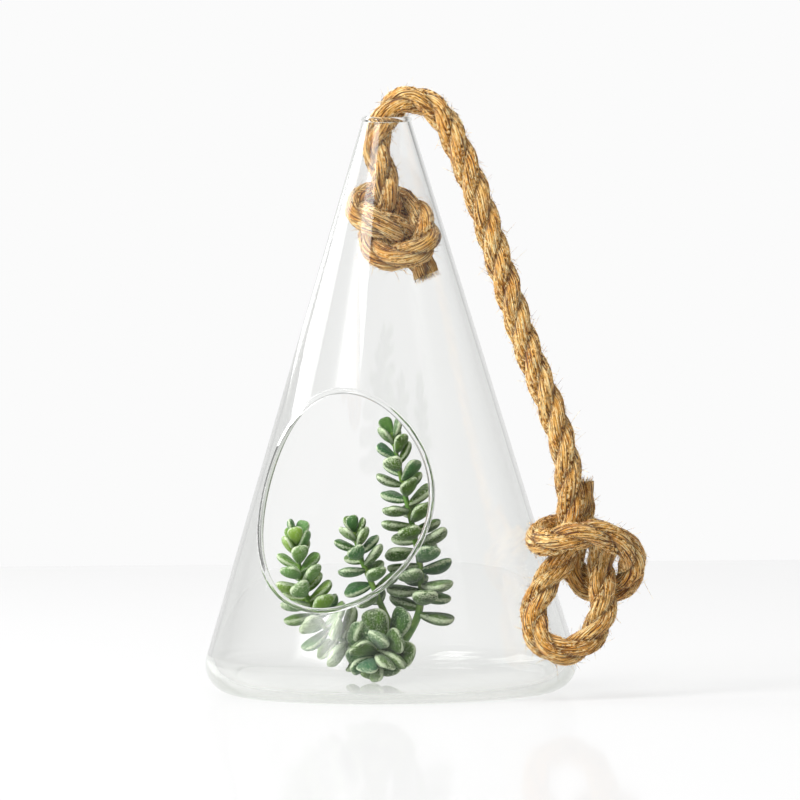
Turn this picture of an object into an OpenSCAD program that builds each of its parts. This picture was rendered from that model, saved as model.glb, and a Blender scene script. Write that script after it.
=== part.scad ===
// Hanging glass cone vase with an oval side opening, a knotted jute rope and a succulent cutting

/* [Glass] */
// Overall height of the glass
height = 210; // [195:1:225]
// Largest diameter, just above the rounded foot
base_d = 135.5; // [132:0.5:145]
// Outer diameter of the open neck at the top
rim_d = 18; // [18:0.5:22]
// Thickness of the blown wall
wall = 1.8; // [1.4:0.1:2]
// Thickness of the glass under the inside floor
base_t = 3; // [2.4:0.1:4]
// Outer radius where the wall turns into the flat foot
foot_r = 10.5; // [8:0.5:12]

/* [Side opening] */
// Width of the oval opening
opening_w = 66.5; // [56:0.5:70]
// Height of the oval opening, measured along the sloping wall
opening_h = 81; // [70:0.5:84]
// Height at which the axis of the opening crosses the axis of the vase
opening_z = 58.5; // [55:0.5:66]
// Turn of the opening to the left of the front, in degrees
opening_turn = 25.5; // [15:0.5:40]
// Width of the fire-polished lip round the opening
lip_w = 2.4; // [1.6:0.1:4]
// How far the lip stands proud of the wall, inside and outside
lip_t = 0.5; // [0.2:0.1:1]

/* [Rope] */
// Diameter of the laid rope
rope_d = 10; // [8:0.1:10]

/* [Succulent] */
// Height of the tallest sprig above the inside floor
plant_h = 100; // [90:1:104]
// Length of a full-grown leaf
leaf_l = 12; // [9:0.5:12.5]
// Width of a full-grown leaf
leaf_w = 7.5; // [5:0.5:8]
// Thickness of a full-grown leaf
leaf_t = 5.2; // [3:0.2:5.6]
// Diameter of the stems at their foot
stem_d = 3.4; // [2.6:0.2:4]
// Gap between the lowest leaf and the inside floor
rest_gap = 0.3; // [0.2:0.1:0.8]

/* [Hidden] */
$fn = 96;

// The wall is the common tangent of the foot's arc and the rim's bead
foot_x = base_d / 2 - foot_r;
rim_r = wall / 2;
rim_x = rim_d / 2 - rim_r;
rim_z = height - rim_r;
foot_to_rim = norm([foot_x - rim_x, rim_z - foot_r]);
half_angle = atan2(foot_x - rim_x, rim_z - foot_r) + asin((foot_r - rim_r) / foot_to_rim);
wall_normal = [cos(half_angle), sin(half_angle)];
wall_reach = [foot_x, foot_r] * wall_normal + foot_r;

// Inside, a smaller arc joins the same wall to the floor
inner_r = foot_r - wall;
inner_z = base_t + inner_r;
inner_x = (wall_reach - wall - inner_r - inner_z * wall_normal[1]) / wall_normal[0];

// The opening is cut square to the wall, from inside the vase outwards
opening_start = 8;
lip_margin = 12;
cut = 1;

rope_sides = 10;
rope_start_side = [0, 1, 0];

// Route of the rope from the end inside the cone to the end beside the hanging loop
rope_route = [
    // End and stopper knot inside the cone
    [14, 4.5, 151.5], [11.5, 5, 157], [8, 4.5, 161.5], [4.5, 0.5, 164.5], [4, -4.5, 168],
    [0.5, -9, 170], [-5, -9.5, 172], [-9.5, -6, 174], [-11, 0, 177], [-9, 5.5, 179.5],
    [-4.5, 9, 180.5], [1, 10.5, 179.5], [6.5, 9, 177.5], [11, 4.5, 174.5], [13, 1, 171],
    [14, -4, 165.5], [11.5, -8, 161.5], [6.5, -9.5, 159.5], [0.5, -8.5, 159],
    [-4.5, -4.5, 161.5], [-6, 0, 166.5], [-3, 3, 171], [0, 1, 176],
    // Up the neck and over the rim
    [0, -1, 181.5], [-1, -0.5, 187.5], [-2.5, -0.5, 193.5], [-4, 0, 199.5], [-1, 0.5, 208.5],
    [3.5, 0, 214], [8, -0.5, 216], [13.5, -1.5, 215], [20, -4, 210], [26.5, -8, 197.5],
    // Down outside the glass
    [34, -13, 178], [42, -18, 152.5], [50, -24, 127.5], [58.5, -29, 105.5], [63.5, -32, 89],
    [65, -33.5, 77], [65.5, -34.5, 67], [65, -35, 58],
    // The open loop
    [62.5, -35.5, 51], [57.5, -37.5, 44], [53.5, -41.5, 37], [51.5, -45.5, 29.5],
    [54.5, -48.5, 21.5], [61.5, -49, 18], [69, -46.5, 20], [74.5, -43, 26], [77, -40, 34],
    [76.5, -37, 42.5],
    // The knot that closes the loop, and its short end
    [76.5, -32.5, 49], [77, -26.5, 53.5], [76, -19.5, 57], [71.5, -14.5, 59.5], [64.5, -14, 60],
    [58.5, -18, 60], [55, -24.5, 59], [54, -32, 57.5], [55.5, -39.5, 57], [60.5, -45, 58],
    [67.5, -47, 60], [75.5, -45.5, 60], [82.5, -42.5, 57.5], [87, -38.5, 52.5],
    [87.5, -33.5, 46.5], [84.5, -29.5, 41], [78.5, -26, 38.5], [71.5, -24.5, 40],
    [66.5, -25, 45.5], [66, -24.5, 53], [67, -24, 61], [69.5, -23.5, 69], [69, -23.5, 77.5]
];

// Each sprig is [stem route, leaves, first leaf along the stem, turn of its first leaf, size of its
// leaves at the foot, size of its leaves at the tip]; the routes are in hundredths of the plant's
// height, measured up from the foot of the lowest leaf
sprigs = [
    [
        [[4, -19, 4.5], [-10, -20, 3.5], [-24, -20, 11.5], [-32, -19, 26.5], [-34, -19, 44.5]],
        36, 0.24, 40, 1.05, 0.6
    ],
    [
        [[4, -19, 4.5], [-1, -22, 13.5], [-6, -24, 25.5], [-11, -24, 37.5], [-13, -24, 46.5]],
        18, 0.4, 100, 1, 0.55
    ],
    [
        [
            [4, -19, 4.5], [10, -17, 15.5], [11, -15, 29.5], [8.5, -13, 45.5], [4.5, -12, 63.5],
            [1, -12, 81.5]
        ],
        36, 0.2, 0, 1.1, 0.6
    ],
    [
        [[4, -19, 4.5], [0, -24, 5.5], [-4, -29, 4.5], [-6, -33, 0]],
        17, 0.35, 60, 1.2, 0.9
    ]
];
// How far the lowest leaf reaches under its foot, as a share of a full-grown leaf's length
lowest_reach = 0.888;
stem_rings = 6;
stem_sides = 6;
stem_tip = 0.45;
golden_turn = 137.5;
low_leaf_lean = 92;
top_leaf_lean = 24;
last_leaf = 0.98;
// Below 1, the leaves stand closer together towards the tip
leaf_spread = 0.85;
leaf_sides = 6;

// Sections of a leaf: share of its length, of its width and of its thickness, and lift as a share
// of its length
leaf_stations = [[0, 0.25, 0.4, 0], [0.5, 0.95, 1, 0.01], [0.82, 0.95, 0.9, 0.05], [1, 0.4, 0.4, 0.1]];

function unit(v) = v / norm(v);

// A point on a smooth curve through the points p, for u from 0 to 1
function curve_at(p, u) =
    let (
        s = u * (len(p) - 1),
        i = min(floor(s), len(p) - 2),
        t = s - i,
        a = p[max(i - 1, 0)],
        b = p[i],
        c = p[i + 1],
        d = p[min(i + 2, len(p) - 1)]
    )
    (2 * b + (c - a) * t + (2 * a - 5 * b + 4 * c - d) * t * t + (3 * b - a - 3 * c + d) * t * t * t) / 2;

function direction(p, i) = unit(p[min(i + 1, len(p) - 1)] - p[max(i - 1, 0)]);

// The part of v that is square to the direction t
function square_to(v, t) = unit(v - (v * t) * t);

// One side vector for each point, carried along the route without twist
function carried_sides(p, side, i = 0) =
    i == len(p) ? [] :
    let (s = square_to(side, direction(p, i)))
    concat([s], carried_sides(p, s, i + 1));

// A closed solid through a list of rings that have the same number of points
module loft(rings) {
    sides = len(rings[0]);
    last = len(rings) - 1;
    walls = [
        for (i = [0:last - 1])
        for (k = [0:sides - 1])
        let (a = i * sides + k, b = i * sides + (k + 1) % sides)
        each [[a, a + sides, b + sides], [a, b + sides, b]]
    ];
    start_cap = [for (k = [0:sides - 1]) k];
    end_cap = [for (k = [sides - 1:-1:0]) last * sides + k];
    polyhedron(points = [for (ring = rings) each ring], faces = concat([start_cap], walls, [end_cap]));
}

// A tube along the points p, with one radius for each point
module tube(p, radii, sides, first_side) {
    across = carried_sides(p, first_side);
    loft([
        for (i = [0:len(p) - 1])
        let (other = cross(direction(p, i), across[i]))
        [
            for (k = [0:sides - 1])
            p[i] + radii[i] * (cos(360 * k / sides) * across[i] + sin(360 * k / sides) * other)
        ]
    ]);
}

// Half section of the outside, filled to the axis
module outer_section() {
    foot_tangent = [foot_x, foot_r] + foot_r * wall_normal;
    rim_tangent = [rim_x, rim_z] + rim_r * wall_normal;
    polygon([[0, 0], [foot_x, 0], foot_tangent, rim_tangent, [0, rim_tangent[1]]]);
    intersection() {
        translate([foot_x, foot_r])
            circle(foot_r);
        square([base_d, height]);
    }
}

// Half section of the hollow inside
module inner_section() {
    floor_tangent = [inner_x, inner_z] + inner_r * wall_normal;
    rim_tangent = [rim_x, rim_z] - rim_r * wall_normal;
    polygon([
        [0, base_t], [inner_x, base_t], floor_tangent, rim_tangent,
        [rim_tangent[0], height + cut], [0, height + cut]
    ]);
    translate([inner_x, inner_z])
        circle(inner_r);
}

// The blown cone with its rounded foot and rim, before the opening is cut
module cone_shell() {
    rotate_extrude()
        difference() {
            outer_section();
            inner_section();
        }
    rotate_extrude()
        translate([rim_x, rim_z])
        circle(rim_r);
}

// An oval bar along the opening's axis, grown by a margin all round
module opening_bar(margin, start) {
    translate([0, 0, opening_z])
        rotate([0, 0, -opening_turn])
        rotate([90 - half_angle, 0, 0])
        translate([0, 0, start])
        scale([opening_w / 2 + margin, opening_h / 2 + margin, 1])
        cylinder(r = 1, h = base_d);
}

// The wall made a little thicker on both sides, over the height of the opening
module thick_wall() {
    along = [-wall_normal[1], wall_normal[0]];
    middle = [foot_x, foot_r] + (foot_r - wall / 2) * wall_normal;
    top = opening_z + opening_h / 2 + lip_margin;
    span = (top - middle[1]) / along[1];
    half = wall / 2 + lip_t;
    rotate_extrude()
        polygon([
            middle + half * wall_normal,
            middle + half * wall_normal + span * along,
            middle - half * wall_normal + span * along,
            middle - half * wall_normal
        ]);
}

module glass_vase() {
    color("lightcyan", 0.4)
        difference() {
            union() {
                cone_shell();
                intersection() {
                    thick_wall();
                    opening_bar(lip_w, opening_start);
                }
            }
            opening_bar(0, opening_start - cut);
        }
}

module rope() {
    color("burlywood")
        tube(rope_route, [for (p = rope_route) rope_d / 2], rope_sides, rope_start_side);
}

// A plump leaf on the stem at the point foot, along x, with its upper side towards z
module leaf(foot, x, y, z, size) {
    loft([
        for (s = leaf_stations)
        [
            for (k = [0:leaf_sides - 1])
            foot + size * (
                s[0] * leaf_l * x
                + s[1] * leaf_w / 2 * cos(360 * k / leaf_sides) * y
                + (s[2] * leaf_t / 2 * sin(360 * k / leaf_sides) + s[3] * leaf_l) * z
            )
        ]
    ]);
}

// A stem with its leaves in a golden-angle spiral that closes towards the tip
module sprig(shares, leaves, first, turn, low_size, tip_size) {
    route = shares * plant_h / 100;
    stem = [for (i = [0:stem_rings]) curve_at(route, i / stem_rings)];
    radii = [for (i = [0:stem_rings]) stem_d / 2 * (1 - (1 - stem_tip) * i / stem_rings)];
    tube(stem, radii, stem_sides, [1, 0, 0]);
    for (i = [0:leaves - 1]) {
        u = first + (last_leaf - first) * pow(i / (leaves - 1), leaf_spread);
        here = curve_at(route, u);
        up = unit(curve_at(route, u + 0.01) - here);
        side = square_to([1, 0, 0], up);
        angle = turn + golden_turn * i;
        out = cos(angle) * side + sin(angle) * cross(up, side);
        lean = low_leaf_lean + (top_leaf_lean - low_leaf_lean) * pow(u, 4);
        x = cos(lean) * up + sin(lean) * out;
        y = unit(cross(up, out));
        leaf(here, x, y, cross(x, y), low_size + (tip_size - low_size) * pow(u, 3));
    }
}

module succulent() {
    color("darkseagreen")
        translate([0, 0, base_t + rest_gap + lowest_reach * leaf_l])
        for (s = sprigs)
            sprig(s[0], s[1], s[2], s[3], s[4], s[5]);
}

glass_vase();
rope();
succulent();
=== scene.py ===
"""Visual model of a hanging glass cone vase with a knotted jute rope and a succulent cutting.

All lengths are in metres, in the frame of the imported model: the origin is the centre of the foot,
+Z is up along the axis of the cone, and -Y faces the viewer.
"""

import logging
import math
import random
from dataclasses import dataclass, field
from enum import Enum
from typing import Callable, Iterable

import bmesh
import bpy
from bmesh.types import BMesh
from bpy.types import ID, Material, Mesh, Node, NodeTree, Object
from bpy.types import NodeSocket as Socket
from mathutils import Matrix, Vector
from mathutils.kdtree import KDTree

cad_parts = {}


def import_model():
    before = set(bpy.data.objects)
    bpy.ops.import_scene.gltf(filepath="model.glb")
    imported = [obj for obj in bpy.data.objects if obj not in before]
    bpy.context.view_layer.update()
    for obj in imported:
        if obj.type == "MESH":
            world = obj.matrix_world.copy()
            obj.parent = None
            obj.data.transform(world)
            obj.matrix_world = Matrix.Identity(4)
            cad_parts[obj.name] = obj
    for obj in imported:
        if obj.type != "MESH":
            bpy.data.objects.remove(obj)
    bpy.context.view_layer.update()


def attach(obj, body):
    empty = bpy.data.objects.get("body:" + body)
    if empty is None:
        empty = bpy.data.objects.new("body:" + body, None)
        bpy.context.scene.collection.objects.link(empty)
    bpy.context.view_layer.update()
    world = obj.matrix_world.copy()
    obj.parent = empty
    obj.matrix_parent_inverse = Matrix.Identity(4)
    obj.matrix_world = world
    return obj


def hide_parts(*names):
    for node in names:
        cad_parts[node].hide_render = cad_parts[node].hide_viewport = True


log = logging.getLogger("cone_vase")

Pair = tuple[float, float]
Point = tuple[float, float, float]
Colour = tuple[float, float, float, float]
Line = list[Vector]
Input = Socket | Colour | float

MM = 0.001
WHITE: Colour = (1.0, 1.0, 1.0, 1.0)
ROUND_TUBE, THIN_TUBE = 12, 0  # bevel resolution of closed and of open tubes
FIBRE_SPANS = 4  # straight pieces in one loose fibre
FIBRE_SHARES = tuple(step / FIBRE_SPANS for step in range(FIBRE_SPANS + 1))


# ---- shared helpers


def grey(level: float) -> Colour:
    """An opaque grey.

    Args:
        level: Its brightness.

    Returns:
        The colour.
    """
    return (level, level, level, 1.0)


def smooth_curve(points: Line, spans: int) -> Line:
    """Catmull-Rom curve through points.

    Args:
        points: The points that the curve passes through.
        spans: Straight pieces between one point and the next.

    Returns:
        The points along the curve, the last one included.
    """
    last = len(points) - 1
    curve = []
    for i in range(last):
        a, b = points[max(i - 1, 0)], points[i]
        c, d = points[i + 1], points[min(i + 2, last)]
        for step in range(spans):
            t = step / spans
            bent = 2 * b + (c - a) * t + (2 * a - 5 * b + 4 * c - d) * t**2
            curve.append((bent + (3 * b - a - 3 * c + d) * t**3) / 2)
    curve.append(points[-1].copy())
    return curve


def evenly_spaced(points: Line, spacing: float) -> Line:
    """Points at equal steps along a polyline.

    Args:
        points: The polyline.
        spacing: The step aimed for; the real one fits the length.

    Returns:
        The points, from the first end to the last.
    """
    reach = [0.0]
    for a, b in zip(points, points[1:]):
        reach.append(reach[-1] + (b - a).length)
    count = max(1, round(reach[-1] / spacing))
    result, i = [], 0
    for step in range(count + 1):
        want = reach[-1] * step / count
        while i < len(points) - 2 and reach[i + 1] < want:
            i += 1
        span = reach[i + 1] - reach[i]
        result.append(points[i].lerp(points[i + 1], (want - reach[i]) / span))
    return result


def directions(points: Line) -> Line:
    """Unit direction of a polyline at each of its points.

    Args:
        points: The polyline.

    Returns:
        One unit vector for each point.
    """
    last = len(points) - 1
    pairs = [(points[max(i - 1, 0)], points[min(i + 1, last)]) for i in range(last + 1)]
    return [(b - a).normalized() for a, b in pairs]


def carried_sides(along: Line, side: Vector) -> Line:
    """Side vectors carried along a line without twist.

    Args:
        along: Unit direction at each point.
        side: A vector near the first side.

    Returns:
        One unit vector for each point, square to the direction there.
    """
    sides = []
    for t in along:
        side = (side - side.dot(t) * t).normalized()
        sides.append(side)
    return sides


def in_scene(name: str, data: ID) -> Object:
    """Put a mesh, a curve, a lamp or a camera in the scene.

    Args:
        name: Name of the object.
        data: What the object holds.

    Returns:
        The new object.
    """
    made = bpy.data.objects.new(name, data)
    bpy.context.scene.collection.objects.link(made)
    return made


def new_piece(name: str, mesh: Mesh, finish: Material) -> Object:
    """Put a mesh in the scene as a smooth-shaded piece that rides on the root body.

    Args:
        name: Name of the piece.
        mesh: Its mesh, with its place in it.
        finish: Its material.

    Returns:
        The new object.
    """
    mesh.materials.clear()
    mesh.materials.append(finish)
    mesh.shade_smooth()
    piece = in_scene(name, mesh)
    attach(piece, "root")
    return piece


def mesh_of(name: str, bm: BMesh) -> Mesh:
    """Turn a bmesh into a mesh and free it.

    Args:
        name: Name of the mesh.
        bm: The bmesh.

    Returns:
        The mesh.
    """
    mesh = bpy.data.meshes.new(name)
    bm.to_mesh(mesh)
    bm.free()
    return mesh


def applied(source: Object, name: str) -> Mesh:
    """The mesh of an object with its modifiers or bevel applied; the object is removed.

    Args:
        source: A mesh or curve object.
        name: Name of the new mesh.

    Returns:
        The new mesh.
    """
    depsgraph = bpy.context.evaluated_depsgraph_get()
    mesh = bpy.data.meshes.new_from_object(source.evaluated_get(depsgraph), depsgraph=depsgraph)
    mesh.name = name
    bpy.data.objects.remove(source, do_unlink=True)
    return mesh


def tube_along(
    name: str, lines: list[Line], radii: list[list[float]], closed: bool = False
) -> Mesh:
    """Tubes along lines, as one mesh.

    Args:
        name: Name of the mesh.
        lines: The points of each line.
        radii: The radius at each of those points.
        closed: True if each line ends where it starts.

    Returns:
        The mesh.
    """
    curve = bpy.data.curves.new(name, "CURVE")
    curve.dimensions = "3D"
    curve.bevel_depth = 1.0
    curve.bevel_resolution = ROUND_TUBE if closed else THIN_TUBE
    curve.use_fill_caps = not closed
    for line, widths in zip(lines, radii):
        spline = curve.splines.new("POLY")
        spline.points.add(len(line) - 1)
        spline.points.foreach_set("co", [x for p in line for x in (*p, 1.0)])
        spline.points.foreach_set("radius", widths)
        spline.use_cyclic_u = closed
    return applied(in_scene(name, curve), name)


class Nodes:
    """A small builder for a material's or the world's node tree."""

    def __init__(self, tree: NodeTree) -> None:
        """Start from an empty tree.

        Args:
            tree: The tree to fill.
        """
        self.tree = tree
        tree.nodes.clear()

    def add(self, kind: str, **settings: object) -> Node:
        """Add a node.

        Args:
            kind: The node's Blender type, without the Shader prefix.
            settings: Properties of the node, or values of its inputs by name with _ for a space.

        Returns:
            The node.
        """
        node = self.tree.nodes.new("ShaderNode" + kind)
        for key, value in settings.items():
            if hasattr(node, key):
                setattr(node, key, value)
            else:
                node.inputs[key.replace("_", " ")].default_value = value
        return node

    def feed(self, source: Input, target: Socket) -> None:
        """Link an output to an input, or set the input to a plain value.

        Args:
            source: The output or the value.
            target: The input.
        """
        if isinstance(source, Socket):
            self.tree.links.new(source, target)
        else:
            target.default_value = source

    def attribute(self, name: str) -> Socket:
        """Value of a mesh attribute.

        Args:
            name: Name of the attribute.

        Returns:
            The value.
        """
        return self.add("Attribute", attribute_name=name).outputs["Fac"]

    def noise(self, where: Socket | None = None, **settings: float) -> Socket:
        """Noise over coordinates.

        Args:
            where: The coordinates, or None for the object's own.
            settings: Values of the noise's other inputs.

        Returns:
            The noise.
        """
        node = self.add("TexNoise", **settings)
        if where is None:
            where = self.add("TexCoord").outputs["Object"]
        self.feed(where, node.inputs["Vector"])
        return node.outputs["Fac"]

    def calc(self, operation: str, *terms: Input) -> Socket:
        """Result of an operation on numbers.

        Args:
            operation: Name of the operation.
            terms: Its terms.

        Returns:
            The result.
        """
        node = self.add("Math", operation=operation)
        for term, target in zip(terms, node.inputs):
            self.feed(term, target)
        return node.outputs[0]

    def ramp(self, fac: Socket, stops: Iterable[float], colours: Iterable[Colour]) -> Socket:
        """Colour ramp over a value.

        Args:
            fac: The value.
            stops: Position of each stop, two or more.
            colours: Colour of each stop.

        Returns:
            The ramp's colour output.
        """
        node = self.add("ValToRGB")
        elements = node.color_ramp.elements
        for number, (position, colour) in enumerate(zip(stops, colours)):
            element = elements[number] if number < 2 else elements.new(position)
            element.position, element.color = position, colour
        self.feed(fac, node.inputs["Fac"])
        return node.outputs["Color"]

    def mix(self, fac: Input, first: Input, second: Input, blend: str = "MIX") -> Socket:
        """Mix two colours.

        Args:
            fac: Share of the second one.
            first: The first colour.
            second: The second colour.
            blend: Blend type.

        Returns:
            The mixed colour.
        """
        node = self.add("Mix", data_type="RGBA", blend_type=blend)
        targets = (node.inputs[0], node.inputs[6], node.inputs[7])
        for source, target in zip((fac, first, second), targets):
            self.feed(source, target)
        return node.outputs[2]

    def either(self, fac: Input, first: Socket, second: Socket) -> Socket:
        """Mix two shaders.

        Args:
            fac: Share of the second one.
            first: The first shader.
            second: The second shader.

        Returns:
            The mixed shader.
        """
        node = self.add("MixShader")
        for source, target in zip((fac, first, second), node.inputs):
            self.feed(source, target)
        return node.outputs[0]

    def output(self, kind: str, **sources: Socket) -> None:
        """Add the tree's output.

        Args:
            kind: Its type, for a material or for the world.
            sources: What goes into its inputs, by name.
        """
        node = self.add(kind)
        for name, source in sources.items():
            self.feed(source, node.inputs[name])


# ---- finishes


def new_finish(name: str) -> tuple[Material, Nodes]:
    """A new material with an empty node tree.

    Args:
        name: Name of the material.

    Returns:
        The material and the builder of its nodes.
    """
    finish = bpy.data.materials.new(name)
    finish.use_nodes = True
    return finish, Nodes(finish.node_tree)


@dataclass(frozen=True)
class ClearGlass:
    """Clear blown glass, with the grey-green tint that its thick edges show.

    A ray goes straight on once it has been reflected more than `deepest` times. Without this, the
    left of the opening's bead and both corners of the base render black.
    """

    tint: Colour = (0.62, 0.66, 0.58, 1)
    depth_of_tint: float = 44.0
    ior: float = 1.5
    deepest: float = 2.5

    def material(self) -> Material:
        """Build the glass; lamps and soft light pass straight through it.

        Returns:
            The material.
        """
        finish, n = new_finish("clear_glass")
        glass = n.add(
            "BsdfPrincipled", Base_Color=WHITE, Roughness=0.0, IOR=self.ior, Transmission_Weight=1.0
        )
        path = n.add("LightPath")
        deep = n.calc("GREATER_THAN", path.outputs["Glossy Depth"], self.deepest)
        clear = n.add("BsdfTransparent").outputs[0]
        shader = glass.outputs[0]
        for goes_on in (path.outputs["Is Shadow Ray"], path.outputs["Is Diffuse Ray"], deep):
            shader = n.either(goes_on, shader, clear)
        body = n.add("VolumeAbsorption", Color=self.tint, Density=self.depth_of_tint)
        n.output("OutputMaterial", Surface=shader, Volume=body.outputs[0])
        return finish


@dataclass(frozen=True)
class Jute:
    """Laid jute: golden fibres that run along each strand, darkened in the grooves by painted
    shade.
    """

    dark: Colour = (0.110, 0.036, 0.005, 1)
    golden: Colour = (0.620, 0.285, 0.038, 1)
    tan: Colour = (0.930, 0.560, 0.150, 1)
    light: Colour = (1.000, 0.860, 0.500, 1)
    browned: Colour = (0.88, 0.68, 0.40, 1)
    groove_shade: float = 0.80
    fibres_along: float = 0.9
    fibres_around: float = 34.0
    laid_stops: tuple[float, ...] = (0.43, 0.48, 0.53, 0.60)
    loose_stops: tuple[float, ...] = (0.41, 0.46, 0.51, 0.57)
    patch_stops: Pair = (0.36, 0.58)
    groove_stops: Pair = (0.20, 1.0)

    def material(self) -> Material:
        """Build the finish of the strands, which follows their UV map.

        Returns:
            The material.
        """
        finish, n = new_finish("jute")
        uv = n.add("UVMap", uv_map="UVMap")
        stretch = n.add("Mapping", Scale=(self.fibres_along, self.fibres_around, 1))
        n.feed(uv.outputs[0], stretch.inputs["Vector"])
        grain = {"Scale": 1.0, "Detail": 6.0, "Roughness": 0.68, "Distortion": 0.6}
        fibres = n.noise(stretch.outputs[0], **grain)
        patches = n.noise(Scale=130.0, Detail=2.0)
        colours = (self.dark, self.golden, self.tan, self.light)
        colour = n.ramp(fibres, self.laid_stops, colours)
        tone = n.ramp(patches, self.patch_stops, (self.browned, WHITE))
        colour = n.mix(1.0, colour, tone, "MULTIPLY")
        # painted shade: the strands turn towards dark brown the deeper they lie in the grooves
        # between them
        shades = (grey(0.0), grey(self.groove_shade))
        deep = n.ramp(n.attribute("groove"), self.groove_stops, shades)
        colour = n.mix(deep, colour, self.dark)
        bump = n.add("Bump", Strength=1.0, Distance=0.0013)
        n.feed(fibres, bump.inputs["Height"])
        sheen = {"Sheen_Weight": 0.25, "Sheen_Roughness": 0.5}
        shader = n.add("BsdfPrincipled", Roughness=0.8, Specular_IOR_Level=0.25, **sheen)
        n.feed(colour, shader.inputs["Base Color"])
        n.feed(bump.outputs[0], shader.inputs["Normal"])
        n.output("OutputMaterial", Surface=shader.outputs[0])
        return finish

    def loose_fibre(self) -> Material:
        """Build the finish of the single fibres that stand off the rope.

        Returns:
            The material.
        """
        finish, n = new_finish("jute_fibre")
        patches = n.noise(Scale=700.0, Detail=2.0)
        colours = (self.dark, self.golden, self.tan, self.light)
        shader = n.add("BsdfPrincipled", Roughness=0.7)
        n.feed(n.ramp(patches, self.loose_stops, colours), shader.inputs["Base Color"])
        n.output("OutputMaterial", Surface=shader.outputs[0])
        return finish


@dataclass(frozen=True)
class FeltedLeaf:
    """Blue-green leaf skin under a whitish felt, laid thickest at the margins as real felt with
    painted sheen.
    """

    deep: Colour = (0.012, 0.042, 0.003, 1)
    green: Colour = (0.062, 0.150, 0.010, 1)
    young: Colour = (0.290, 0.480, 0.055, 1)
    blue: Colour = (0.030, 0.160, 0.095, 1)
    felt: Colour = (0.610, 0.700, 0.480, 1)
    sheen_tint: Colour = (0.9, 1.0, 0.92, 1)
    mottle_stops: Pair = (0.35, 0.62)
    hair_share: float = 1.3
    cover_stops: Pair = (0.71, 1.0)
    least_cover: float = 0.01
    most_cover: float = 0.96

    def material(self) -> Material:
        """Build the finish, which reads the leaves' own attributes.

        Returns:
            The material.
        """
        finish, n = new_finish("felted_leaf")
        mottle = n.noise(Scale=260.0, Detail=4.0, Roughness=0.6)
        hairs = n.noise(Scale=1900.0, Detail=3.0, Roughness=0.7)
        skin = n.ramp(mottle, self.mottle_stops, (self.deep, self.green))
        skin = n.mix(n.attribute("youth"), skin, self.young)
        skin = n.mix(n.attribute("cool"), skin, self.blue)
        # felt share: random hairs plus felt that is heavier at margins and tips; the margins' extra
        # whiteness is partly painted sheen
        spread = n.calc("MULTIPLY_ADD", hairs, self.hair_share, n.attribute("felt_and_painted_sheen"))
        shares = (grey(self.least_cover), grey(self.most_cover))
        colour = n.mix(n.ramp(spread, self.cover_stops, shares), skin, self.felt)
        bump = n.add("Bump", Strength=0.9, Distance=0.0005)
        n.feed(hairs, bump.inputs["Height"])
        sheen = {"Sheen_Weight": 0.42, "Sheen_Roughness": 0.3, "Sheen_Tint": self.sheen_tint}
        shader = n.add("BsdfPrincipled", Roughness=0.75, Specular_IOR_Level=0.3, **sheen)
        n.feed(colour, shader.inputs["Base Color"])
        n.feed(bump.outputs[0], shader.inputs["Normal"])
        n.output("OutputMaterial", Surface=shader.outputs[0])
        return finish


@dataclass(frozen=True)
class GreenStem:
    """Fresh green stem."""

    pale: Colour = (0.240, 0.380, 0.080, 1)
    green: Colour = (0.110, 0.250, 0.050, 1)
    mottle_stops: Pair = (0.35, 0.65)

    def material(self) -> Material:
        """Build the finish.

        Returns:
            The material.
        """
        finish, n = new_finish("green_stem")
        mottle = n.noise(Scale=300.0, Detail=3.0)
        shader = n.add("BsdfPrincipled", Roughness=0.5)
        colour = n.ramp(mottle, self.mottle_stops, (self.green, self.pale))
        n.feed(colour, shader.inputs["Base Color"])
        n.output("OutputMaterial", Surface=shader.outputs[0])
        return finish


# ---- the rope


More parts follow.
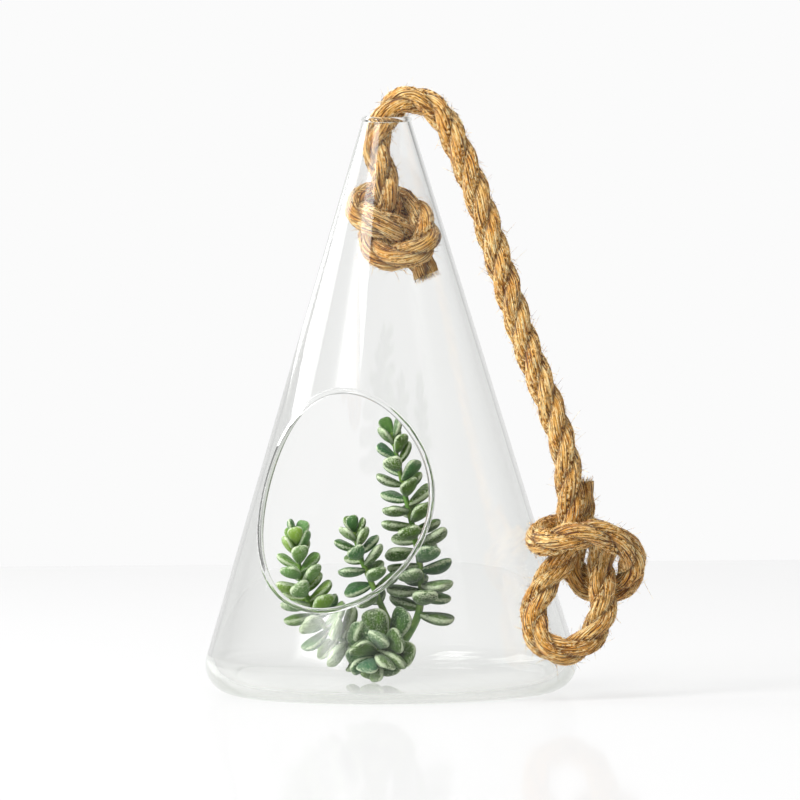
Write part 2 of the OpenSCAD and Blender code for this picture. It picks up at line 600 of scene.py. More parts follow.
@dataclass
class LaidRope:
    """Three-strand jute rope with its stopper knot, its hanging loop and their loose fibres.

    The fibres are measured from the strands' surface or from the rope's own, their lengths are in
    millimetres, and `has_room` says whether one may be where it is.
    """

    has_room: Callable[[Line], bool]
    diameter: float = 10 * MM
    strands: int = 3
    lay: float = 36 * MM
    strand_offset: float = 2.0 * MM
    strand_radius: float = 3.1 * MM
    strand_sides: int = 36
    ring_step: float = 0.8 * MM
    curve_spans: int = 24
    yarns: int = 9
    yarn_depth: float = 0.22 * MM
    yarn_middle: float = 0.6
    yarn_turn: float = 0.35
    groove_start: float = 0.4 * MM
    groove_depth: float = 1.1 * MM
    uv_length: float = 10 * MM
    uv_apart: int = 7
    fibre_radius: float = 0.05 * MM
    lying_count: int = 5400
    lying_side: float = 1.6
    lying_taper: tuple[float, ...] = (0.6, 1.0, 1.1, 1.0, 0.5)
    neat_share: float = 0.75
    neat_stray: float = 0.3
    wild_stray: float = 1.3
    flying_count: int = 4600
    flying_mm: Pair = (0.9, 2.8)
    long_share: float = 0.08
    long_times: float = 1.8
    most_curl: float = 2.6
    tuft_count: int = 150
    tuft_mm: Pair = (1.5, 3.2)
    loose_taper: tuple[float, ...] = (1.2, 1.1, 1.0, 0.8, 0.4)
    route_mm: list[Point] = field(
        default_factory=lambda: [
            (14, 4.5, 151.5), (11.5, 5, 157), (8, 4.5, 161.5), (4.5, 0.5, 164.5),
            (4, -4.5, 168), (0.5, -9, 170), (-5, -9.5, 172), (-9.5, -6, 174), (-11, 0, 177),
            (-9, 5.5, 179.5), (-4.5, 9, 180.5), (1, 10.5, 179.5), (6.5, 9, 177.5),
            (11, 4.5, 174.5), (13, 1, 171), (14, -4, 165.5), (11.5, -8, 161.5),
            (6.5, -9.5, 159.5), (0.5, -8.5, 159), (-4.5, -4.5, 161.5), (-6, 0, 166.5),
            (-3, 3, 171), (0, 1, 176), (0, -1, 181.5), (-1, -0.5, 187.5), (-2.5, -0.5, 193.5),
            (-4, 0, 199.5), (-1, 0.5, 208.5), (3.5, 0, 214), (8, -0.5, 216), (13.5, -1.5, 215),
            (20, -4, 210), (26.5, -8, 197.5), (34, -13, 178), (42, -18, 152.5),
            (50, -24, 127.5), (58.5, -29, 105.5), (63.5, -32, 89), (65, -33.5, 77),
            (65.5, -34.5, 67), (65, -35, 58), (62.5, -35.5, 51), (57.5, -37.5, 44),
            (53.5, -41.5, 37), (51.5, -45.5, 29.5), (54.5, -48.5, 21.5), (61.5, -49, 18),
            (69, -46.5, 20), (74.5, -43, 26), (77, -40, 34), (76.5, -37, 42.5),
            (76.5, -32.5, 49), (77, -26.5, 53.5), (76, -19.5, 57), (71.5, -14.5, 59.5),
            (64.5, -14, 60), (58.5, -18, 60), (55, -24.5, 59), (54, -32, 57.5),
            (55.5, -39.5, 57), (60.5, -45, 58), (67.5, -47, 60), (75.5, -45.5, 60),
            (82.5, -42.5, 57.5), (87, -38.5, 52.5), (87.5, -33.5, 46.5), (84.5, -29.5, 41),
            (78.5, -26, 38.5), (71.5, -24.5, 40), (66.5, -25, 45.5), (66, -24.5, 53),
            (67, -24, 61), (69.5, -23.5, 69), (69, -23.5, 77.5),
        ]
    )

    def __post_init__(self) -> None:
        """Work out the centreline and the side vectors along it."""
        points = smooth_curve([Vector(p) * MM for p in self.route_mm], self.curve_spans)
        self.centre = evenly_spaced(points, self.ring_step)
        self.along = directions(self.centre)
        self.across = carried_sides(self.along, Vector((0, 1, 0)))
        self.length = sum((b - a).length for a, b in zip(self.centre, self.centre[1:]))

    def around(self, i: int, angle: float) -> Vector:
        """Direction away from the centreline.

        Args:
            i: Ring along the rope.
            angle: Angle round the centreline.

        Returns:
            The unit vector.
        """
        other = self.along[i].cross(self.across[i])
        return math.cos(angle) * self.across[i] + math.sin(angle) * other

    def strand_turn(self, i: int, number: int) -> float:
        """Angle of a strand round the centreline.

        Args:
            i: Ring along the rope.
            number: Which strand.

        Returns:
            The angle in radians.
        """
        reach = self.length * i / (len(self.centre) - 1)
        return 2 * math.pi * (reach / self.lay + number / self.strands)

    def on_strand(self, i: int, number: int, angle: float, lift: float = 0.0) -> Vector:
        """A point on a strand's surface.

        Args:
            i: Ring along the rope.
            number: Which strand.
            angle: Angle round the strand's own middle.
            lift: Height above its surface.

        Returns:
            The point.
        """
        turn = self.strand_turn(i, number)
        yarn = self.yarns * (angle + self.yarn_turn * turn)
        bulge = self.yarn_depth * (abs(math.cos(yarn / 2)) - self.yarn_middle)
        radius = self.strand_radius + bulge + lift
        middle = self.centre[i] + self.strand_offset * self.around(i, turn)
        return middle + radius * self.around(i, angle)

    def strand(self, bm: BMesh, number: int) -> None:
        """Add one strand: a grid wrapped into a tube that winds round the centreline.

        Args:
            bm: The bmesh of all strands, with its UV map.
            number: Which of the three strands it is.
        """
        rings, sides = len(self.centre) - 1, self.strand_sides
        uv = bm.loops.layers.uv["UVMap"]
        made = bmesh.ops.create_grid(
            bm, x_segments=rings, y_segments=sides, size=0.5, calc_uvs=True
        )
        verts = made["verts"]
        faces = {f for v in verts for f in v.link_faces}
        for v in verts:
            i = round((v.co.x + 0.5) * rings)
            side = round((v.co.y + 0.5) * sides)
            v.co = self.on_strand(i, number, 2 * math.pi * side / sides)
        for f in faces:
            for loop in f.loops:
                along, round_it = loop[uv].uv
                reach = along * self.length
                drift = self.yarn_turn * reach / self.lay
                loop[uv].uv = (reach / self.uv_length, round_it + drift + self.uv_apart * number)
        bmesh.ops.remove_doubles(bm, verts=verts, dist=1e-7)

    def groove(self, mesh: Mesh) -> None:
        """Mark how deep each point lies between the strands, from 0 outside to 1 in the groove; the
        jute finish paints shade by it.

        Args:
            mesh: The mesh of all strands.
        """
        tree = KDTree(len(self.centre))
        for i, p in enumerate(self.centre):
            tree.insert(p, i)
        tree.balance()
        top = self.strand_offset + self.strand_radius
        depth = mesh.attributes.new("groove", "FLOAT", "POINT")
        values = []
        for v in mesh.vertices:
            below = top - self.groove_start - tree.find(v.co)[2]
            values.append(min(1.0, max(0.0, below / self.groove_depth)))
        depth.data.foreach_set("value", values)

    def fibres(self, name: str, lines: list[Line], radii: list[list[float]]) -> Mesh:
        """Tubes for the fibres that have room beside the glass; the others are left out.

        Args:
            name: Name of the mesh.
            lines: The points of each fibre.
            radii: The radius at each of those points.

        Returns:
            One mesh.
        """
        kept = [(line, widths) for line, widths in zip(lines, radii) if self.has_room(line)]
        log.info("%s: %d of %d fibres have room", name, len(kept), len(lines))
        return tube_along(name, [line for line, _ in kept], [widths for _, widths in kept])

    def lying_fibres(self) -> Mesh:
        """Fibres that lie along the strands, a hair above them.

        Returns:
            The mesh.
        """
        rng = random.Random(23)
        lines, radii = [], []
        last = len(self.centre) - 1
        for _ in range(self.lying_count):
            span = rng.randint(2, 4)
            start = rng.randrange(0, last - FIBRE_SPANS * span)
            number = rng.randrange(self.strands)
            turn = self.strand_turn(start, number)
            angle = turn + rng.uniform(-self.lying_side, self.lying_side)
            most = self.neat_stray if rng.random() < self.neat_share else self.wild_stray
            stray = rng.uniform(-most, most)
            line = []
            for step, share in enumerate(FIBRE_SHARES):
                i = start + step * span
                drift = self.yarn_turn * (self.strand_turn(i, number) - turn)
                lift = self.fibre_radius * rng.uniform(-0.2, 5.0)
                line.append(self.on_strand(i, number, angle - drift + stray * share, lift))
            lines.append(line)
            radii.append(
                [self.fibre_radius * w * rng.uniform(0.8, 1.9) for w in self.lying_taper]
            )
        return self.fibres("rope_lying_fibres", lines, radii)

    def flying_fibres(self) -> Mesh:
        """Loose fibres that lift off the rope, and the tufts at its two cut ends.

        Returns:
            The mesh.
        """
        rng = random.Random(11)
        lines, radii = [], []
        last = len(self.centre) - 1
        for _ in range(self.flying_count):
            i = rng.randrange(2, last - 1)
            out = self.around(i, rng.uniform(0, 2 * math.pi))
            sideways = self.along[i].cross(out)
            heading = self.along[i] * rng.choice((-1, 1))
            start = self.centre[i] + out * (self.diameter / 2 - rng.uniform(0.2, 1.1) * MM)
            length = rng.uniform(*self.flying_mm) * MM
            length *= self.long_times if rng.random() < self.long_share else 1
            lift, swing = rng.uniform(0.1, 1.0), rng.uniform(-0.9, 0.9)
            curl = rng.uniform(-self.most_curl, self.most_curl)
            lines.append(
                [
                    start
                    + heading * length * t
                    + out * length * (lift * t + 0.25 * curl * t * t)
                    + sideways * length * (swing * t + 0.4 * curl * t * t)
                    for t in FIBRE_SHARES
                ]
            )
            width = self.fibre_radius * rng.uniform(0.7, 1.5)
            radii.append([width * w for w in self.loose_taper])
        for i, heading in ((0, -self.along[0]), (last, self.along[last])):
            for _ in range(self.tuft_count):
                out = self.around(i, rng.uniform(0, 2 * math.pi))
                aside = out * self.diameter / 2 * rng.uniform(0.1, 0.95)
                start = self.centre[i] + aside - heading * MM
                length, spread = rng.uniform(*self.tuft_mm) * MM, rng.uniform(0.0, 0.45)
                lines.append(
                    [start + (heading + out * spread * t) * length * t for t in FIBRE_SHARES]
                )
                width = self.fibre_radius * rng.uniform(0.8, 1.8)
                radii.append([width * w for w in self.loose_taper])
        return self.fibres("rope_flying_fibres", lines, radii)

    def build(self) -> None:
        bm = bmesh.new()
        bm.loops.layers.uv.new("UVMap")
        for number in range(self.strands):
            self.strand(bm, number)
        rims = [e for e in bm.edges if e.is_boundary]
        bmesh.ops.holes_fill(bm, edges=rims, sides=0)
        bmesh.ops.recalc_face_normals(bm, faces=bm.faces)
        mesh = mesh_of("rope_strands", bm)
        self.groove(mesh)
        jute = Jute()
        rope = new_piece("rope_strands", mesh, jute.material())
        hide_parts("rope")
        hair = jute.loose_fibre()
        lying = new_piece("rope_lying_fibres", self.lying_fibres(), hair)
        flying = new_piece("rope_flying_fibres", self.flying_fibres(), hair)
        log.info("rope: %.3f m, %d faces", self.length, len(mesh.polygons))


# ---- the glass


@dataclass
class GlassCone:
    """Blown cone with a rounded foot, an open neck and an oval opening with a rounded lip."""

    height: float = 210 * MM
    base_d: float = 135.5 * MM
    rim_d: float = 18 * MM
    wall: float = 1.8 * MM
    base_t: float = 3 * MM
    foot_r: float = 10.5 * MM
    opening_w: float = 66.5 * MM
    opening_h: float = 81 * MM
    opening_z: float = 58.5 * MM
    opening_turn: float = math.radians(25.5)
    opening_sides: int = 160
    bar_start: float = 8 * MM
    lip_r: float = 1.2 * MM
    lip_shift: float = 0.4
    lip_points: int = 200
    rim_lip_r: float = 1.15 * MM
    rim_overlap: float = 0.9
    steps: int = 240
    foot_steps: int = 20
    bend_steps: int = 18
    wall_rings: int = 48
    halvings: int = 40
    sharp_angle: float = math.radians(24)
    spare: float = 0.18 * MM

    def __post_init__(self) -> None:
        """Work out the slope of the wall from the foot's arc and the rim's bead."""
        self.foot_x = self.base_d / 2 - self.foot_r
        self.rim_r = self.wall / 2
        self.rim_x = self.rim_d / 2 - self.rim_r
        self.rim_z = self.height - self.rim_r
        across, up = self.foot_x - self.rim_x, self.rim_z - self.foot_r
        self.slope = math.atan2(across, up) + math.asin(
            (self.foot_r - self.rim_r) / math.hypot(across, up)
        )
        self.normal = (math.cos(self.slope), math.sin(self.slope))
        self.reach = self.foot_x * self.normal[0] + self.foot_r * self.normal[1] + self.foot_r

    def section(self) -> list[Pair]:
        """Half section from the axis under the foot, round the rim and back to the axis inside.

        Returns:
            The points, as distance from the axis and height.
        """

        def arc(x: float, z: float, r: float, start: float, end: float, count: int) -> list[Pair]:
            """Points of an arc, angles from +X in radians."""
            turns = [start + (end - start) * i / count for i in range(count + 1)]
            return [(x + r * math.cos(turn), z + r * math.sin(turn)) for turn in turns]

        inner_r = self.foot_r - self.wall
        inner_z = self.base_t + inner_r
        inner_x = (self.reach - self.wall - inner_r - inner_z * self.normal[1]) / self.normal[0]
        lip_z = self.height - self.rim_lip_r
        down_to = -math.pi / 2
        outer = arc(self.foot_x, self.foot_r, self.foot_r, down_to, self.slope, self.foot_steps)
        over, under = self.slope - self.rim_overlap, self.slope + math.pi + self.rim_overlap
        rim = arc(self.rim_x, lip_z, self.rim_lip_r, over, under, self.bend_steps)
        inner = arc(inner_x, inner_z, inner_r, self.slope, down_to, self.bend_steps)

        def straight(start: Pair, end: Pair) -> list[Pair]:
            """Rings on the straight of the wall, which keep its shading true beside the opening."""
            (x, z), (end_x, end_z) = start, end
            shares = [i / self.wall_rings for i in range(1, self.wall_rings)]
            return [(x + (end_x - x) * t, z + (end_z - z) * t) for t in shares]

        up, down = straight(outer[-1], rim[0]), straight(rim[-1], inner[0])
        return [(0, 0), *outer, *up, *rim, *down, *inner, (0, self.base_t)]

    def side_of(self, p: Vector) -> str:
        """Where a point is, seen from the glass.

        Args:
            p: The point.

        Returns:
            "wall" if it is in the glass or almost, or else "outside", "hollow" or "above".
        """
        x, rim_z = math.hypot(p.x, p.y), self.height - self.rim_lip_r
        if math.hypot(x - self.rim_x, p.z - rim_z) < self.rim_lip_r + self.spare:
            return "wall"
        if p.z > rim_z:
            return "above"
        out = x * self.normal[0] + p.z * self.normal[1] - self.reach
        if out > self.spare:
            return "outside"
        return "hollow" if out < -self.wall - self.spare else "wall"

    def has_room(self, line: Line) -> bool:
        """Whether a thin line stays on one side of the wall and touches neither it nor the rim.

        Args:
            line: The line's points.

        Returns:
            True if it does.
        """
        middles = [a.lerp(b, 0.5) for a, b in zip(line, line[1:])]
        sides = {self.side_of(p) for p in line + middles}
        return "wall" not in sides and not {"outside", "hollow"} <= sides

    def shell(self) -> Object:
        """The closed cone, spun from its section.

        Returns:
            Its object.
        """
        bm = bmesh.new()
        verts = [bm.verts.new((x, 0, z)) for x, z in self.section()]
        edges = [bm.edges.new(pair) for pair in zip(verts, verts[1:])]
        round_axis = {"cent": (0, 0, 0), "axis": (0, 0, 1), "angle": 2 * math.pi}
        bmesh.ops.spin(bm, geom=verts + edges, steps=self.steps, use_merge=True, **round_axis)
        bmesh.ops.remove_doubles(bm, verts=bm.verts, dist=1e-6)
        bmesh.ops.recalc_face_normals(bm, faces=bm.faces)
        return in_scene("shell", mesh_of("shell", bm))

    def opening_frame(self) -> Matrix:
        """Frame of the opening: its axis runs outwards, square to the wall.

        Returns:
            The frame.
        """
        return (
            Matrix.Translation((0, 0, self.opening_z))
            @ Matrix.Rotation(-self.opening_turn, 4, "Z")
            @ Matrix.Rotation(math.pi / 2 - self.slope, 4, "X")
        )

    def opening_bar(self) -> Object:
        """Oval bar that cuts the opening.

        Returns:
            Its object.
        """
        bm = bmesh.new()
        unit = {"cap_ends": True, "radius1": 1, "radius2": 1}
        bmesh.ops.create_cone(bm, segments=self.opening_sides, depth=self.base_d, **unit)
        bmesh.ops.scale(bm, vec=(self.opening_w / 2, self.opening_h / 2, 1), verts=bm.verts)
        bmesh.ops.translate(bm, vec=(0, 0, self.base_d / 2 + self.bar_start), verts=bm.verts)
        bmesh.ops.transform(bm, matrix=self.opening_frame(), verts=bm.verts)
        return in_scene("bar", mesh_of("bar", bm))

    def lip_line(self, count: int) -> Line:
        """The edge of the opening in the middle of the wall.

        Args:
            count: Points round the edge.

        Returns:
            The points.
        """
        frame = self.opening_frame()
        axis = frame.to_3x3() @ Vector((0, 0, 1))
        middle = self.reach - self.wall / 2
        grow = self.lip_shift * self.lip_r
        half_w, half_h = self.opening_w / 2 + grow, self.opening_h / 2 + grow
        line = []
        for i in range(count):
            angle = 2 * math.pi * i / count
            foot = frame @ Vector((half_w * math.cos(angle), half_h * math.sin(angle), 0))
            low, high = 0.0, self.base_d
            for _ in range(self.halvings):
                out = (low + high) / 2
                p = foot + axis * out
                inside = math.hypot(p.x, p.y) * self.normal[0] + p.z * self.normal[1] < middle
                low, high = (out, high) if inside else (low, out)
            line.append(foot + axis * low)
        return line

    def build(self) -> None:
        """Cut the opening, join its rounded lip and dress the glass."""
        shell, bar = self.shell(), self.opening_bar()
        edge = self.lip_line(self.lip_points)
        lip_mesh = tube_along("lip", [edge], [[self.lip_r] * len(edge)], closed=True)
        lip = in_scene("lip", lip_mesh)
        for tool, work in ((bar, "DIFFERENCE"), (lip, "UNION")):
            cut = shell.modifiers.new(tool.name, "BOOLEAN")
            cut.object, cut.operation, cut.solver = tool, work, "EXACT"
        mesh = applied(shell, "cone_glass")
        for tool in (bar, lip):
            bpy.data.objects.remove(tool, do_unlink=True)
        glass = new_piece("cone_glass", mesh, ClearGlass().material())
        mesh.set_sharp_from_angle(angle=self.sharp_angle)
        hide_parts("glass_vase")
        slope = math.degrees(self.slope)
        log.info("glass: slope %.2f degrees, %d faces", slope, len(mesh.polygons))


# ---- the succulent


@dataclass
class Sprig:
    """One stem and the leaves in a golden-angle spiral along it, sizes in millimetres."""

    route: list[Point]
    leaves: int
    first: float
    turn: float
    low_size: float
    tip_size: float
    youth: float


@dataclass
class Succulent:
    """Loose cutting of four sprigs with plump felted leaves."""

    floor: float = 3.35 * MM
    lowest_reach: float = 0.888
    leaf_l: float = 12.0 * MM
    leaf_w: float = 8.5 * MM
    leaf_t: float = 5.9 * MM
    foot_width: float = 0.34
    widening: float = 1.05
    foot_thickness: float = 0.60
    thickening: float = 0.40
    bluntness: float = 0.13
    flat_top: float = 0.82
    crease_depth: float = 0.30
    crease_width: float = 0.3
    upturn: float = 0.13
    # the margins' extra felt is partly painted sheen, the whitening of fuzz seen edge-on
    margin_start: float = 0.88
    margin_rise: float = 0.34 / 0.12
    tip_start: float = 0.86
    tip_rise: float = 1.0
    stem_r: float = 1.6 * MM
    stem_spans: int = 10
    golden_turn: float = math.radians(137.5)
    low_lean: float = math.radians(92)
    top_lean: float = math.radians(24)
    leaf_spread: float = 0.85
    sprigs: list[Sprig] = field(
        default_factory=lambda: [
            Sprig(
                route=[
                    (4, -19, 4.5), (-10, -20, 3.5), (-24, -20, 11.5), (-32, -19, 26.5),
                    (-34, -19, 44.5),
                ],
                leaves=36, first=0.24, turn=40, low_size=1.05, tip_size=0.6, youth=0.8,
            ),
            Sprig(
                route=[
                    (4, -19, 4.5), (-1, -22, 13.5), (-6, -24, 25.5), (-11, -24, 37.5),
                    (-13, -24, 46.5),
                ],
                leaves=18, first=0.4, turn=100, low_size=1, tip_size=0.55, youth=0.2,
            ),
            Sprig(
                route=[
                    (4, -19, 4.5), (10, -17, 15.5), (11, -15, 29.5), (8.5, -13, 45.5),
                    (4.5, -12, 63.5), (1, -12, 81.5),
                ],
                leaves=36, first=0.2, turn=0, low_size=1.1, tip_size=0.6, youth=0.15,
            ),
            Sprig(
                route=[(4, -19, 4.5), (0, -24, 5.5), (-4, -29, 4.5), (-6, -33, 0)],
                leaves=17, first=0.35, turn=60, low_size=1.2, tip_size=0.9, youth=0.1,
            ),
        ]
    )

    def half_width(self, t: float) -> float:
        """Half the width of a full-grown leaf.

        Args:
            t: Place along the leaf, from 0 at its foot to 1 at its tip.

        Returns:
            The half width.
        """
        oval = max(0.0, 1 - (2 * t - 1) ** 2) ** (0.5 - self.bluntness)
        return oval * (self.foot_width + self.widening * t) * self.leaf_w / 2

    def leaf_shape(self) -> Mesh:
        """A leaf along +X with its upper side to +Z, narrow at the foot and broad near the tip.

        Returns:
            Its mesh.
        """
        bm = bmesh.new()
        bmesh.ops.create_uvsphere(bm, u_segments=28, v_segments=18, radius=1)
        along = Matrix.Rotation(math.pi / 2, 3, "Y")
        bmesh.ops.rotate(bm, cent=(0, 0, 0), matrix=along, verts=bm.verts)
        for v in bm.verts:
            t = (v.co.x + 1) / 2
            full = max(1 - v.co.x**2, 1e-6) ** -self.bluntness
            width = v.co.y * full * (self.foot_width + self.widening * t) * self.leaf_w / 2
            thick = v.co.z * full * (self.foot_thickness + self.thickening * t) * self.leaf_t / 2
            if v.co.z > 0:
                crease = self.crease_depth * math.exp(-((v.co.y / self.crease_width) ** 2))
                thick *= self.flat_top - crease * t
            lift = self.upturn * t * t * self.leaf_l
            v.co = (t * self.leaf_l, width, thick + lift)
        bmesh.ops.recalc_face_normals(bm, faces=bm.faces)
        return mesh_of("leaf_shape", bm)

    def place(self, sprig: Sprig, i: int, line: Line, rng: random.Random) -> tuple[Matrix, float]:
        """Where one leaf of a sprig sits.

        Args:
            sprig: The sprig.
            i: Number of the leaf, from the foot.
            line: The stem's line.
            rng: Source of the small differences between leaves.

        Returns:
            The leaf's placing, and how far up the stem it is, from 0 to 1.
        """
        u = sprig.first + (0.98 - sprig.first) * (i / (sprig.leaves - 1)) ** self.leaf_spread
        at = u * (len(line) - 1)
        k = min(int(at), len(line) - 2)
        here = line[k].lerp(line[k + 1], at - k)
        up = (line[k + 1] - line[k]).normalized()
        side = Vector((1, 0, 0))
        side = (side - side.dot(up) * up).normalized()
        angle = math.radians(sprig.turn) + self.golden_turn * i + rng.uniform(-0.15, 0.15)
        out = math.cos(angle) * side + math.sin(angle) * up.cross(side)
        lean = self.low_lean + (self.top_lean - self.low_lean) * u**4
        lean += rng.uniform(-0.14, 0.14)
        x = math.cos(lean) * up + math.sin(lean) * out
        y = up.cross(out).normalized()
        z = x.cross(y)
        size = sprig.low_size + (sprig.tip_size - sprig.low_size) * u**3
        size *= rng.uniform(0.96, 1.03)
        roll = Matrix.Rotation(rng.uniform(-0.35, 0.35), 4, "X")
        turned = Matrix((x, y, z)).transposed().to_4x4() @ roll
        return Matrix.Translation(here) @ turned @ Matrix.Scale(size, 4), u

    def build(self) -> None:
        """Make the leaves and the stems."""
        rng = random.Random(5)
        shape = self.leaf_shape()
        bm = bmesh.new()
        felt_and_painted_sheen = bm.verts.layers.float.new("felt_and_painted_sheen")
        youth = bm.verts.layers.float.new("youth")
        cool = bm.verts.layers.float.new("cool")
        stems, widths = [], []
        for sprig in self.sprigs:
            lift = Vector((0, 0, self.floor + self.lowest_reach * self.leaf_l))
            points = [Vector(p) * MM + lift for p in sprig.route]
            line = smooth_curve(points, self.stem_spans)
            stems.append(line)
            widths.append([self.stem_r * (1 - 0.5 * i / len(line)) for i in range(len(line))])
            for i in range(sprig.leaves):
                matrix, u = self.place(sprig, i, line, rng)
                start = len(bm.verts)
                bm.from_mesh(shape)
                bm.verts.ensure_lookup_table()
                new = bm.verts[start:]
                age = sprig.youth * rng.uniform(0.5, 1.2) * u
                dust = rng.uniform(-0.06, 0.10)
                chill = max(0.0, rng.uniform(-0.4, 0.7)) * (0.2 + 0.8 * u)
                for v in new:
                    t = v.co.x / self.leaf_l
                    margin = abs(v.co.y) / max(self.half_width(t), 1e-6)
                    # margins get extra felt, partly real felt and partly painted sheen
                    edge = self.margin_rise * max(0.0, margin - self.margin_start)
                    v[felt_and_painted_sheen] = dust + edge + self.tip_rise * max(0.0, t - self.tip_start)
                    v[youth] = min(1.0, age)
                    v[cool] = chill
                bmesh.ops.transform(bm, matrix=matrix, verts=new)
        leaf_mesh = mesh_of("succulent_leaves", bm)
        leaves = new_piece("succulent_leaves", leaf_mesh, FeltedLeaf().material())
        bpy.data.meshes.remove(shape)
        stem_mesh = tube_along("succulent_stems", stems, widths)
        stem = new_piece("succulent_stems", stem_mesh, GreenStem().material())
        for piece in (leaves, stem):
            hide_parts("succulent")
        lowest = min(v.co.z for v in leaves.data.vertices) / MM
        log.info("succulent: %d leaf faces, lowest at %.2f mm", len(leaves.data.polygons), lowest)


# ---- the studio


class LampRole(Enum):
    """What each lamp is for."""

    SIDE = "side_softbox"
    NECK = "neck_softbox"
    GLOW = "soft_glow"
    GLARE = "low_glare"
    KEY = "left_key"
    TOP = "top_softbox"


@dataclass(frozen=True)
class Softbox:
    """A rectangular lamp that faces the object; more layers give its reflection softer edges."""

    role: LampRole
    place: Point
    size: Pair
    power: float
    mirrored: bool
    aim: Point = (0.0, 0.0, 0.1)
    layers: int = 1
    layer_gap: float = 2 * MM

    def build(self) -> None:
        """Add the lamp; it doesn't show to the camera, and only mirrored ones show in the glass."""
        toward = Vector(self.aim) - Vector(self.place)
        for layer in range(self.layers):
            share = 1 - layer / self.layers
            data = bpy.data.lights.new(self.role.value, "AREA")
            data.shape = "RECTANGLE"
            data.size, data.size_y = self.size[0] * share, self.size[1] * share
            weight = 2 * (layer + 1) / (self.layers * (self.layers + 1))
            data.energy = self.power * share**2 * weight
            lamp = in_scene(self.role.value, data)
            lamp.location = Vector(self.place) + toward.normalized() * self.layer_gap * layer
            lamp.rotation_euler = toward.to_track_quat("-Z", "Y").to_euler()
            lamp.visible_camera = False
            lamp.visible_glossy = lamp.visible_transmission = self.mirrored


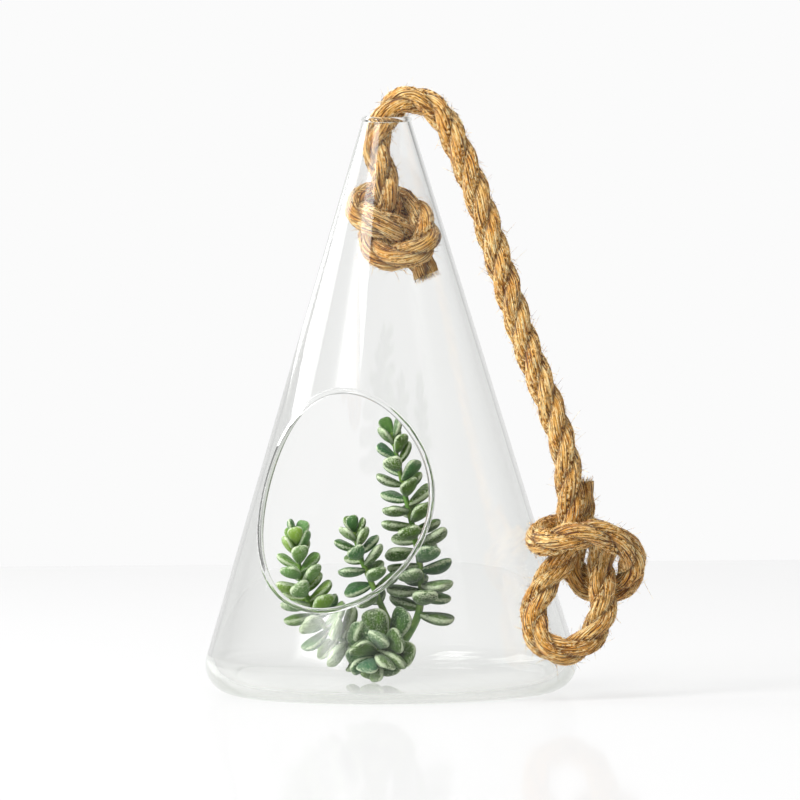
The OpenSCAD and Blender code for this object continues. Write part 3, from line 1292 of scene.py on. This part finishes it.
@dataclass
class Studio:
    """Camera, table, backdrop and lamps."""

    camera_place: Point = (0.0, -6.0, 0.4933)
    camera_aim: Point = (0.0, 0.0, 0.105)
    roll: float = math.radians(-0.5)
    sensor: float = 36.0
    lens: float = 743.0
    shift: Pair = (0.01375, 0.0051)
    far: float = 50.0
    backdrop: float = 0.965
    room: float = 0.30
    room_stops: Pair = (0.84, 0.98)
    ambient: float = 0.34
    table: float = 0.94
    table_matt: float = 0.84
    table_glow: float = 0.7
    table_gloss: float = 0.10
    table_roughness: float = 0.06
    table_half: Pair = (6.0, 4.0)
    table_back: float = 0.63
    lamps: tuple[Softbox, ...] = (
        Softbox(LampRole.SIDE, (-0.63, 0.31, 0.60), (0.44, 0.70), 3.2, True, (0.0, 0.0, 0.60)),
        Softbox(LampRole.NECK, (-0.74, -0.67, 0.95), (0.46, 0.60), 3.8, True, (0.0, 0.0, 0.95)),
        Softbox(LampRole.GLOW, (-0.95, -0.74, 0.71), (1.10, 0.20), 1.6, True, (0.0, 0.0, 0.71), 6),
        Softbox(LampRole.GLARE, (-0.88, -0.80, 0.62), (0.90, 0.26), 9.0, True, (0.0, 0.0, 0.62), 8),
        Softbox(LampRole.KEY, (-2.4, -1.5, 1.5), (1.4, 1.4), 72.0, False),
        Softbox(LampRole.TOP, (-0.3, -0.8, 2.4), (1.6, 1.6), 30.0, False),
    )

    def camera(self) -> None:
        """Set the camera at the viewing angle."""
        data = bpy.data.cameras.new("camera")
        data.sensor_width = self.sensor
        data.lens = self.lens
        data.shift_x, data.shift_y = self.shift
        data.clip_end = self.far
        camera = in_scene("camera", data)
        looking = Vector(self.camera_aim) - Vector(self.camera_place)
        turn = looking.to_track_quat("-Z", "Y").to_matrix().to_4x4()
        rolled = turn @ Matrix.Rotation(self.roll, 4, "Z")
        camera.matrix_world = Matrix.Translation(self.camera_place) @ rolled
        bpy.context.scene.camera = camera

    def seen_directly(self, n: Nodes) -> Socket:
        """Tell the rays that show a surface or the backdrop from those that only light the scene.

        Args:
            n: The nodes of the table or the world.

        Returns:
            1 for camera, glossy and transmission rays, 0 for the others.
        """
        path = n.add("LightPath")
        seen = path.outputs["Is Camera Ray"]
        for kind in ("Is Glossy Ray", "Is Transmission Ray"):
            seen = n.calc("MAXIMUM", seen, path.outputs[kind])
        return seen

    def world(self) -> None:
        """Pale backdrop behind the object, a dimmer room in front, and a plain soft light."""
        world = bpy.data.worlds.new("studio")
        world.use_nodes = True
        bpy.context.scene.world = world
        n = Nodes(world.node_tree)
        split = n.add("SeparateXYZ")
        n.feed(n.add("TexCoord").outputs["Generated"], split.inputs[0])
        toward = n.add("MapRange", From_Min=-1.0, From_Max=1.0)
        n.feed(split.outputs["Y"], toward.inputs["Value"])
        seen = n.ramp(toward.outputs[0], self.room_stops, (grey(self.room), grey(self.backdrop)))
        background = n.add("Background")
        colour = n.mix(self.seen_directly(n), grey(self.ambient), seen)
        n.feed(colour, background.inputs["Color"])
        n.output("OutputWorld", Surface=background.outputs[0])

    def floor(self) -> None:
        """Pale glossy table top that ends behind the object."""
        bm = bmesh.new()
        wide, deep = self.table_half
        bmesh.ops.create_grid(bm, x_segments=1, y_segments=1, size=1.0)
        bmesh.ops.scale(bm, vec=(wide, deep, 1.0), verts=bm.verts)
        bmesh.ops.translate(bm, vec=(0, self.table_back - deep, 0), verts=bm.verts)
        finish, n = new_finish("table")
        matt = n.add("BsdfDiffuse", Color=grey(self.table_matt))
        glow = n.add("Emission", Color=grey(self.table), Strength=1.0)
        share = n.calc("MULTIPLY", self.seen_directly(n), self.table_glow)
        top = n.either(share, matt.outputs[0], glow.outputs[0])
        gloss = n.add("BsdfGlossy", Color=WHITE, Roughness=self.table_roughness)
        polished = n.either(self.table_gloss, top, gloss.outputs[0])
        n.output("OutputMaterial", Surface=polished)
        mesh = mesh_of("table", bm)
        mesh.materials.append(finish)
        table = in_scene("table", mesh)

    def build(self) -> None:
        """Add the table, the backdrop and the lamps."""
        self.floor()
        self.world()
        for lamp in self.lamps:
            lamp.build()
        log.info("studio: %d lamps", len(self.lamps))


def main() -> None:
    """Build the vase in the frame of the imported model."""
    logging.basicConfig(level=logging.INFO, format="%(name)s: %(message)s")
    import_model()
    scene = bpy.context.scene
    scene.view_settings.view_transform = "Standard"
    studio = Studio()
    studio.camera()
    glass = GlassCone()
    LaidRope(has_room=glass.has_room).build()
    glass.build()
    Succulent().build()
    studio.build()


if __name__ == "__main__":
    main()
